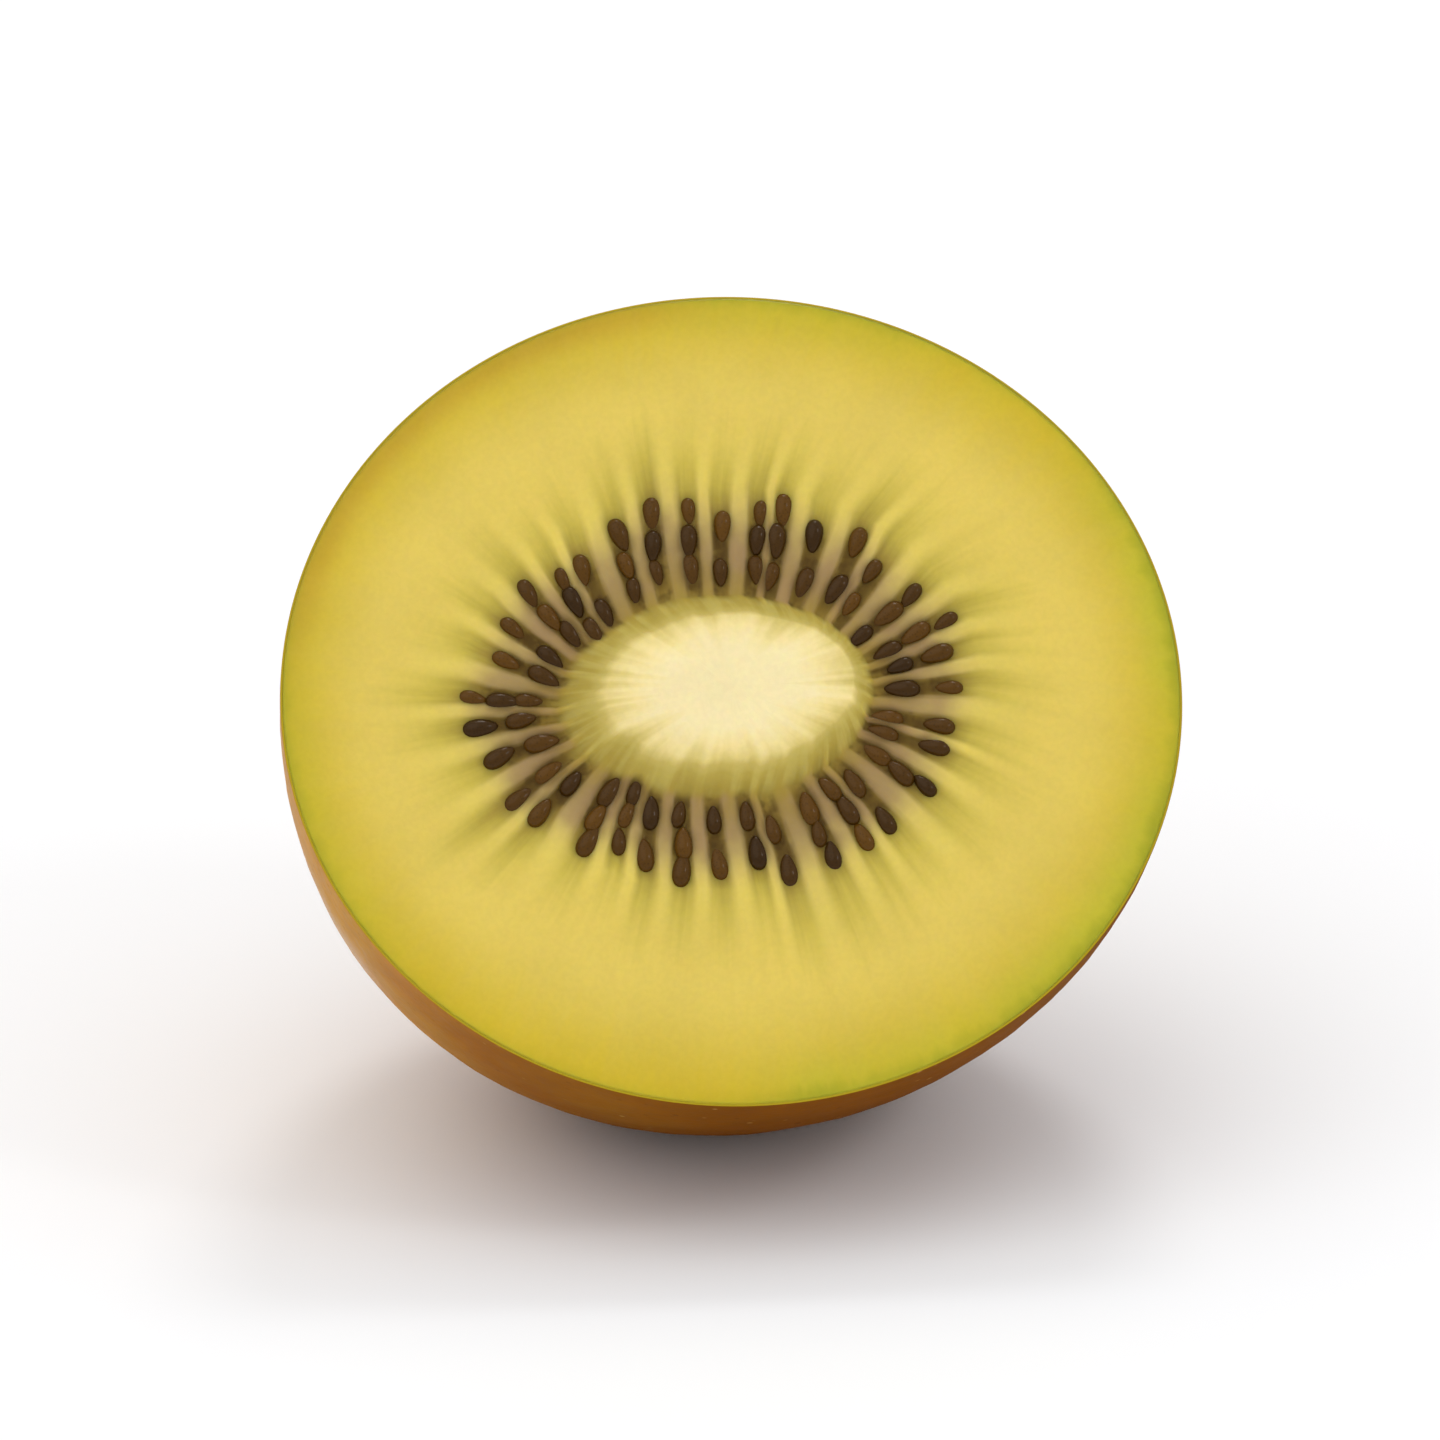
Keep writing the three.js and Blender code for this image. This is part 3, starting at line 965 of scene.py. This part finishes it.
class FleshShader(Shader):
    """The cut face, coloured by how far out each point is and how deep in its chamber."""

    def __init__(self):
        super().__init__("flesh")
        self.reach = self.attribute("reach")
        self.chamber = self.attribute("chamber")
        # Each chamber follows its own seeds in or out.
        self.ring_reach = self.reach - self.attribute("slide")
        self.out = self.polar()
        self.at = self.position()
        self.fibre_place = self.out * 9.0 + self.upwards(self.reach * 0.4)
        self.fibres = self.noise(self.fibre_place, *FIBRE_STREAKS)
        self.waver = self.noise(self.out * 2.2, *WAVER)
        self.fine = self.noise(self.at, *FLESH_FINE)
        self.patchy = self.noise(self.at, *FLESH_PATCHES)
        self.grain = self.noise(self.at, *FLESH_GRAIN)

    def colour(self):
        in_ring = self.range(self.ring_reach, 1.75, 2.05)
        return self.mottled(self.with_rim(self.mix(in_ring, self.core(), self.seed_ring())))

    def core(self):
        """Its edge is soft and strays in and out, with pale and olive streaks beyond it."""
        tooth = (self.chamber - 0.5) * 0.06
        stray = self.fine * 0.16 + self.fibres * 0.08 + self.patchy * 0.16 + self.waver * 0.8
        core_reach = self.reach + tooth + (stray - 0.6)
        colour = self.ramp(core_reach, [
            (0.0, CREAM), (0.6, CREAM), (0.84, CORE_EDGE), (1.02, PALE_YELLOW),
            (1.2, YELLOW_GREEN), (1.42, OLIVE), (1.75, DEEP_OLIVE), (2.05, OLIVE_BROWN),
        ])
        olive = self.range(core_reach, 0.95, 1.3) * self.range(self.reach, 1.7, 2.1, 1.0, 0.0)
        streaks = self.noise(self.fibre_place, *CORE_STREAKS)
        streaks = self.range(streaks, 0.42, 0.66, 0.0, 0.32)
        return self.mix(olive * streaks, colour, OLIVE_STREAK)

    def seed_ring(self):
        narrow = self.range(self.ring_reach, 2.6, 3.1, 0.3, 0.08)
        softness = self.range(self.ring_reach, 2.7, 3.1, 0.34, 0.62)
        frayed_chamber = self.chamber + (self.fibres * 0.4 - 0.2)
        in_chamber = self.range(frayed_chamber, narrow, narrow + softness)
        colour = self.mix(in_chamber, self.walls(), self.insides())
        halo = self.attribute("cling") * self.range(self.ring_reach, 2.55, 2.85, 0.75, 0.3)
        return self.mix(halo, colour, DARK_GEL)

    def walls(self):
        """Between the chambers: pale, with mauve patches, and gold from where the seeds end."""
        colour = self.ramp(self.ring_reach, [
            (1.85, OLIVE_BROWN), (2.1, INNER_SEPTUM), (2.4, MID_SEPTUM), (2.62, SEPTUM),
            (2.83, SEPTUM_GOLD), (3.05, SEPTUM_END), (3.3, GOLD),
        ])
        fade = self.range(self.ring_reach, 2.45, 2.95, 1.0, 0.0)
        mauve = self.range(self.patchy, 0.42, 0.66, 0.0, 0.75) * fade
        return self.mix(mauve, colour, MAUVE_SEPTUM)

    def insides(self):
        """In the chambers: gel, darkest between the seeds, that fades out in a soft tuft."""
        tuft_reach = self.ring_reach + (self.waver * 0.36 + self.fibres * 0.3 - 0.33)
        colour = self.ramp(tuft_reach, [
            (1.8, OLIVE_BROWN), (2.0, GEL), (2.6, GEL), (2.82, TUFT_OLIVE), (2.96, TUFT_GREEN),
            (3.1, TUFT_YELLOW), (3.24, TUFT_END), (3.4, GOLD),
        ])
        blotches = self.range(self.noise(self.at, *GEL_BLOTCHES), 0.42, 0.62, 0.0, 0.6)
        blotches = blotches * self.range(self.ring_reach, 2.5, 2.85, 1.0, 0.0)
        after_first = self.range(self.ring_reach, 2.2, 2.4)
        before_last = self.range(self.ring_reach, 2.5, 2.7, 1.0, 0.0)
        deep_down = self.range(self.chamber, 0.35, 0.85, 0.0, 0.6)
        colour = self.mix(blotches, colour, DARK_GEL)
        return self.mix(after_first * before_last * deep_down, colour, DARK_GEL)

    def with_rim(self, colour):
        """Towards the skin the flesh turns a deeper gold or lime, with a thin greener edge; the
        deeper gold at the upper left is partly painted shadow.
        """
        # Partly painted shadow: the rim turns a darker gold at the upper left.
        upper_left = self.range(self.out.dot(UPPER_LEFT), 0.55, 0.95)
        deep_and_shadowed = upper_left * self.range(self.reach, 3.8, 3.96, 0.0, 0.7)
        lime = self.lime()
        rim_colour = self.mix(lime, self.mix(deep_and_shadowed, RIM_GOLD, DEEP_GOLD_AND_SHADOW), LIME)
        rim_reach = self.reach + (self.fibres * 0.12 - 0.06)
        colour = self.mix(self.range(rim_reach, 3.42, 4.06, 0.0, 0.96), colour, rim_colour)
        edge = self.range(rim_reach, 3.92, 4.0) * (lime * 0.5 + 0.1)
        return self.mix(edge, colour, GREEN_EDGE)

    def lime(self):
        """How lime the rim is: most on the right, with fainter patches at the left and top."""
        patch = self.noise(self.out + LIME_AT, *LIME_PATCHES)
        lime = self.range(self.out.dot(RIGHT) + (patch * 1.8 - 0.9), 0.1, 1.1)
        for direction in (LEFT, TOP):
            faint_patch = self.range(self.out.dot(direction), 0.88, 1.0, 0.0, 0.45)
            lime = self.math("MAXIMUM", lime, faint_patch)
        return lime * self.range(self.reach, 3.7, 3.95, 0.1, 1.0)

    def mottled(self, colour):
        """A little lighter and darker all over, with faint streaks outside the seed ring."""
        outside = self.range(self.reach, 2.9, 3.3)
        amount = self.range(self.noise(self.at, *FLESH_MOTTLE), 0.3, 0.7, 0.975, 1.025)
        amount = amount + (self.fibres - 0.5) * (outside * 0.07)
        amount = amount + self.range(self.grain, 0.3, 0.7, -0.018, 0.018)
        return self.shade(colour, amount)


def flesh_material():
    shader = FleshShader()
    relief = shader.grain * 0.35 + shader.fibres * 0.5
    shader.set(
        Base_Color=shader.colour(),
        Roughness=shader.range(shader.fine, 0.35, 0.65, 0.3, 0.42),
        Subsurface_Weight=0.8,
        Subsurface_Radius=(1.0, 0.7, 0.25),
        Subsurface_Scale=0.9 * MM,
        Specular_IOR_Level=0.2,
        Specular_Tint=linear(FLESH_SHEEN),
        Coat_Weight=0.03,
        Coat_Roughness=0.15,
        Normal=shader.bump(relief, 0.08, 0.5),
    )
    return shader.material


# ---- the seeds' material ----

SEED_DARK = (44, 26, 3)
SEED_BROWN = (84, 54, 8)
SEED_SHEEN = (255, 204, 140)
PIT_CELLS = 5200.0  # in a metre


def seed_material():
    shader = Shader("seed")
    pits = shader.cells(shader.position(), PIT_CELLS)
    colour = shader.mix(shader.attribute("own"), SEED_DARK, SEED_BROWN)
    shader.set(
        Base_Color=shader.shade(colour, shader.range(pits, 0.0, 0.5, 0.8, 1.15)),
        Roughness=0.36,
        Specular_IOR_Level=0.12,
        Specular_Tint=linear(SEED_SHEEN),
        Coat_Weight=0.2,
        Coat_Roughness=0.08,
        Normal=shader.bump(pits, 0.05, 0.4),
    )
    return shader.material


# ---- the skin's material ----

SKIN_GOLD = (190, 135, 39)
SKIN_ROSY = (190, 125, 55)
SKIN_BRONZE = (166, 112, 34)
# Painted shade, laid on the skin's lower right.
SKIN_PAINTED_SHADE = (122, 69, 6)
SKIN_BROWN = (132, 82, 30)
SKIN_DARK = (90, 50, 16)
SKIN_PALE = (210, 168, 96)
SKIN_CUT = (172, 150, 34)
SKIN_SHEEN = (255, 220, 165)

# Noises, and cells with how many there are in a metre.
SKIN_BROAD = (50.0, 3.0, 0.55)
SKIN_PATCHES = (210.0, 4.0, 0.6)
SKIN_FINE = (1500.0, 3.0, 0.6)
SKIN_STREAKS = (2.2, 4.0, 0.6)
DOT_CELLS = 640.0
SPECK_CELLS = 1250.0
LEATHER_CELLS = 2100.0


class SkinShader(Shader):
    """The skin, coloured by which way it faces and how far it is from the stem, with painted shade
    towards its lower right.
    """

    def __init__(self):
        super().__init__("skin")
        self.out = self.polar()
        self.at = self.position()
        self.depth = self.attribute("depth")
        self.broad = self.noise(self.at, *SKIN_BROAD)
        self.patches = self.noise(self.at, *SKIN_PATCHES)
        self.fine = self.noise(self.at, *SKIN_FINE)
        down_the_dome = self.out * 6.0 + self.upwards(self.depth * 0.16)
        self.streaks = self.noise(down_the_dome, *SKIN_STREAKS)
        # Painted shade: how far the skin is darkened and browned towards its lower right, with a
        # wavering edge.
        painted_shade = self.out.dot(LOWER_RIGHT) + (self.broad * 0.8 - 0.4)
        self.painted_shade = self.range(painted_shade, -0.1, 0.9)
        self.from_stem = self.attribute("from_stem") + (self.patches * 2.0 - 1.0)
        dots = self.cells(self.at, DOT_CELLS)
        dark_places = self.range(self.patches, 0.48, 0.62)
        pale_places = self.range(self.patches, 0.5, 0.36)
        self.dark_dots = self.range(dots, 0.06, 0.18, 0.55, 0.0) * dark_places
        self.pale_dots = self.range(dots, 0.06, 0.16, 0.4, 0.0) * pale_places

    def colour(self):
        colour = self.with_stem_end(self.with_dots(self.ground()))
        return self.mix(self.attribute("cut"), colour, SKIN_CUT)

    def ground(self):
        """Golden, with rosy and bronze patches, and darker and browner towards the lower right,
        which is painted shade.
        """
        colour = self.mix(self.range(self.broad, 0.38, 0.7), SKIN_GOLD, SKIN_ROSY)
        colour = self.mix(self.range(self.streaks, 0.42, 0.72, 0.0, 0.34), colour, SKIN_BRONZE)
        # Painted shade towards the lower right.
        colour = self.mix(self.painted_shade, colour, SKIN_PAINTED_SHADE)
        return self.shade(colour, self.range(self.patches, 0.3, 0.7, 0.94, 1.06))

    def with_dots(self, colour):
        """Small corky dots, some dark and some pale, and finer brown specks."""
        colour = self.mix(self.dark_dots, colour, SKIN_DARK)
        colour = self.mix(self.pale_dots, colour, SKIN_PALE)
        specks = self.range(self.cells(self.at, SPECK_CELLS), 0.1, 0.26, 0.34, 0.0)
        colour = self.mix(specks * self.range(self.fine, 0.4, 0.6), colour, SKIN_BROWN)
        return self.shade(colour, self.range(self.fine, 0.3, 0.7, 0.95, 1.05))

    def with_stem_end(self, colour):
        """Browner round the stem end, with a dark ring in the groove round the scar."""
        colour = self.mix(self.range(self.from_stem, 6.2, 11.0, 0.3, 0.0), colour, SKIN_BROWN)
        return self.mix(self.range(self.from_stem, 5.6, 7.2, 0.88, 0.0), colour, SKIN_DARK)

    def satin(self):
        """The skin shines softly, but not where shade is painted on at its lower right, in the
        groove or near the cut.
        """
        glossy_side = self.range(self.painted_shade, 0.0, 0.2, 0.65, 0.0)
        return glossy_side * self.range(self.from_stem, 6.5, 9.0) * self.range(self.depth, 3.0, 12.0)

    def relief(self):
        leather = self.cells(self.at, LEATHER_CELLS, "SMOOTH_F1")
        dots = self.dark_dots + self.pale_dots
        return self.fine * 0.5 + leather * 0.5 + dots * 0.8 + self.streaks * 0.3


def skin_material():
    shader = SkinShader()
    shader.set(
        Base_Color=shader.colour(),
        Roughness=shader.range(shader.fine, 0.3, 0.7, 0.4, 0.5) + shader.painted_shade * 0.35,
        Specular_IOR_Level=0.05,
        Specular_Tint=linear(SKIN_SHEEN),
        Coat_Weight=shader.satin(),
        Coat_Roughness=0.27,
        Subsurface_Weight=0.1,
        Subsurface_Radius=(1.0, 0.5, 0.2),
        Subsurface_Scale=0.8 * MM,
        Normal=shader.bump(shader.relief(), 0.06, 0.6),
    )
    return shader.material


# ---- the stem scar's material ----

SCAR_WOOD = (146, 96, 48)
SCAR_PALE = (174, 124, 72)
SCAR_DARK = (78, 46, 18)
CRACK_NOISE = (2.0, 4.0, 0.6)
WOOD_NOISE = (1600.0, 4.0, 0.65)


def scar_material():
    shader = Shader("stem_scar")
    share = shader.attribute("share")
    outwards = shader.polar() * 2.4 + shader.upwards(share * 3.0)
    cracks = shader.noise(outwards, *CRACK_NOISE)
    grain = shader.noise(shader.position(), *WOOD_NOISE)
    pit = shader.range(share, 0.2, 0.42, 0.9, 0.0)
    edge = shader.range(share, 0.92, 1.06, 0.0, 0.6)
    colour = shader.mix(shader.range(grain, 0.35, 0.65), SCAR_WOOD, SCAR_PALE)
    colour = shader.mix(shader.range(cracks, 0.5, 0.68, 0.0, 0.75), colour, SCAR_DARK)
    shader.set(
        Base_Color=shader.mix(shader.math("MAXIMUM", pit, edge), colour, SCAR_DARK),
        Roughness=0.78,
        Specular_IOR_Level=0.3,
        Normal=shader.bump(grain * 0.7 - cracks * 0.8, 0.25, 0.8),
    )
    return shader.material


# ---- the studio ----

# Where the camera and each light are: azimuth and elevation, in degrees, and distance, in metres.
CAMERA_AT = (-4.8, 22.8, 1.1)
CAMERA_LENS = 440.0
CAMERA_NEAREST = 0.01

# Each light's place, width in metres, power and colour.
LIGHTS = {
    "key": ((-45, 58, 0.6), 0.7, 0.8, (1.0, 0.98, 0.95)),
    "fill": ((60, 40, 0.7), 0.16, 0.36, (0.98, 0.99, 1.0)),
    "back": ((165, 55, 0.7), 0.2, 0.75, (1.0, 1.0, 1.0)),
}

DOME_COLOUR = (0.97, 0.98, 1.0, 1.0)
DOME_AT_HORIZON = 0.791
DOME_OVERHEAD = 0.894
FLOOR_LIGHTNESS = 0.92
FLOOR_ROUGHNESS = 0.8
FLOOR_HALF_SIDE = 12.0


def put(name, data, at, target):
    """Puts a camera or light at its place round the target, and aims it there."""
    azimuth, elevation, distance = math.radians(at[0]), math.radians(at[1]), at[2]
    flat, rise = math.cos(elevation) * distance, math.sin(elevation) * distance
    made = bpy.data.objects.new(name, data)
    made.location = target + Vector((math.sin(azimuth) * flat, -math.cos(azimuth) * flat, rise))
    made.rotation_euler = (target - made.location).to_track_quat("-Z", "Y").to_euler()
    bpy.context.scene.collection.objects.link(made)
    return made


def make_camera(target):
    data = bpy.data.cameras.new("camera")
    data.lens = CAMERA_LENS
    data.clip_start = CAMERA_NEAREST
    bpy.context.scene.camera = put("camera", data, CAMERA_AT, target)


def make_lights(target):
    for name, (at, width, power, colour) in LIGHTS.items():
        data = bpy.data.lights.new(name, "AREA")
        data.shape = "DISK"
        data.size = width
        data.energy = power
        data.color = colour
        put(name, data, at, target)


def make_world():
    """A pale dome, a little dimmer at the horizon, where it's as light as the floor far off."""
    world = bpy.data.worlds.new("studio")
    world.use_nodes = True
    nodes, links = world.node_tree.nodes, world.node_tree.links
    background = nodes["Background"]
    background.inputs["Color"].default_value = DOME_COLOUR
    split = nodes.new("ShaderNodeSeparateXYZ")
    links.new(nodes.new("ShaderNodeTexCoord").outputs["Generated"], split.inputs[0])
    rise = nodes.new("ShaderNodeMapRange")
    rise.inputs["To Min"].default_value = DOME_AT_HORIZON
    rise.inputs["To Max"].default_value = DOME_OVERHEAD
    links.new(split.outputs["Z"], rise.inputs["Value"])
    links.new(rise.outputs[0], background.inputs["Strength"])
    bpy.context.scene.world = world


def make_floor():
    mesh = bpy.data.meshes.new("floor")
    side = FLOOR_HALF_SIDE
    corners = [(-side, -side, 0), (side, -side, 0), (side, side, 0), (-side, side, 0)]
    mesh.from_pydata(corners, [], [(0, 1, 2, 3)])
    floor = bpy.data.objects.new("floor", mesh)
    bpy.context.scene.collection.objects.link(floor)
    shader = Shader("floor")
    shader.set(Base_Color=(*[FLOOR_LIGHTNESS] * 3, 1.0), Roughness=FLOOR_ROUGHNESS)
    mesh.materials.append(shader.material)


# ---- putting it together ----


def dress(piece, material):
    piece.data.materials.append(material)
    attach(piece, BODY)
    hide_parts(NODE)


dress(make_flesh(), flesh_material())
dress(make_skin(), skin_material())
dress(make_scar(), scar_material())
dress(make_seeds(), seed_material())

low, high = (Vector(corner) for corner in cad_box)
middle = (low + high) / 2
make_camera(middle)
make_world()
make_floor()
make_lights(middle)
bpy.context.scene.view_settings.view_transform = "Standard"
